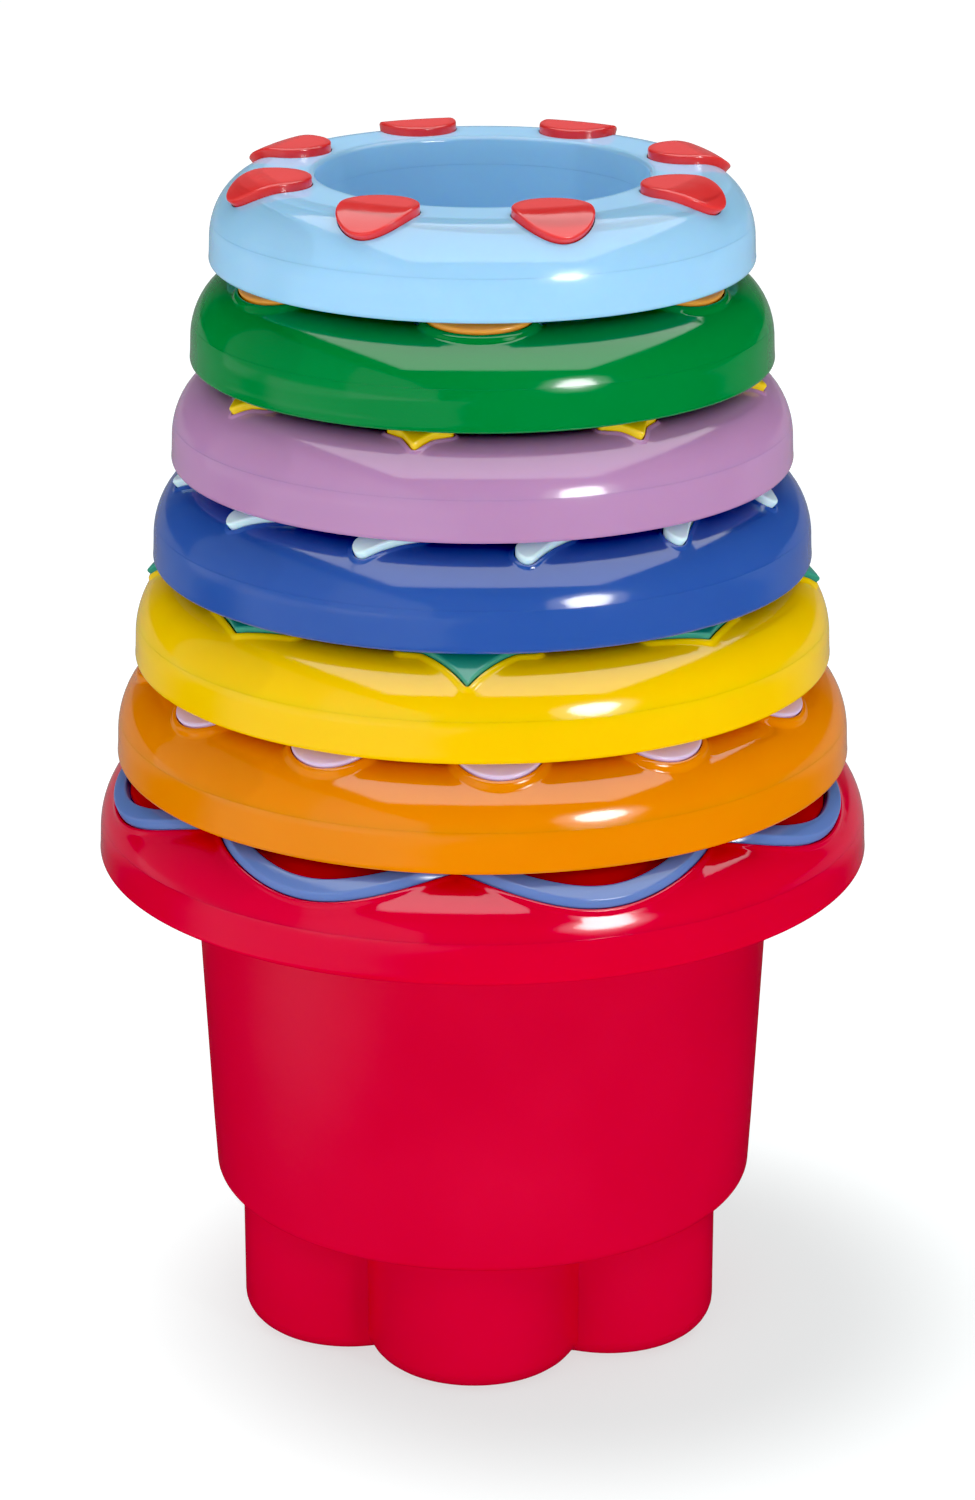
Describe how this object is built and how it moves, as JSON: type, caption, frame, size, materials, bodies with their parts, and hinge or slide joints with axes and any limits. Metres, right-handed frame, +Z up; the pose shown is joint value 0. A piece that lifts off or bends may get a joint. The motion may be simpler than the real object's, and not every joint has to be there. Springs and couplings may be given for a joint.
{
  "type": "stacking cup set",
  "caption": "Bucket with a lobed foot and nested cups whose fat hollow collars stack up like rings, each with raised coloured shapes.",
  "frame": {"origin": "middle of the underside of the bucket's foot", "axes": "+Z up along the common axis of the nested cups, -Y towards the front"},
  "size_m": [0.14, 0.14, 0.2157],
  "materials": {
    "red": "gloss",
    "orange": "gloss",
    "yellow": "gloss",
    "blue": "gloss",
    "purple": "gloss",
    "green": "gloss",
    "sky_blue": "gloss",
    "lilac": "gloss",
    "leaf_green": "gloss",
    "pale_blue": "gloss",
    "star_yellow": "gloss",
    "oval_orange": "gloss",
    "spot_red": "gloss",
    "wave_blue": "gloss"
  },
  "bodies": {
    "bucket": {"red_bucket": "red", "red_collar_cap": "red", "blue_wave_ring": "wave_blue"},
    "orange": {"orange_cup": "orange", "orange_collar_cap": "orange", "lilac_oval_ring": "lilac"},
    "yellow": {"yellow_cup": "yellow", "yellow_collar_cap": "yellow", "green_leaf_ring": "leaf_green"},
    "blue": {"blue_cup": "blue", "blue_collar_cap": "blue", "pale_dash_ring": "pale_blue"},
    "purple": {"purple_cup": "purple", "purple_collar_cap": "purple", "yellow_star_ring": "star_yellow"},
    "green": {"green_cup": "green", "green_collar_cap": "green", "orange_oval_ring": "oval_orange"},
    "sky": {"sky_cup": "sky_blue", "sky_collar_cap": "sky_blue", "red_spot_ring": "spot_red"}
  },
  "joints": [
    {"name": "orange_lift", "type": "slide", "parent": "bucket", "child": "orange", "axis": [0, 0, 1], "range_m": [0, 0.088]},
    {"name": "yellow_lift", "type": "slide", "parent": "orange", "child": "yellow", "axis": [0, 0, 1], "range_m": [0, 0.079]},
    {"name": "blue_lift", "type": "slide", "parent": "yellow", "child": "blue", "axis": [0, 0, 1], "range_m": [0, 0.07]},
    {"name": "purple_lift", "type": "slide", "parent": "blue", "child": "purple", "axis": [0, 0, 1], "range_m": [0, 0.062]},
    {"name": "green_lift", "type": "slide", "parent": "purple", "child": "green", "axis": [0, 0, 1], "range_m": [0, 0.056]},
    {"name": "sky_lift", "type": "slide", "parent": "green", "child": "sky", "axis": [0, 0, 1], "range_m": [0, 0.05]}
  ]
}
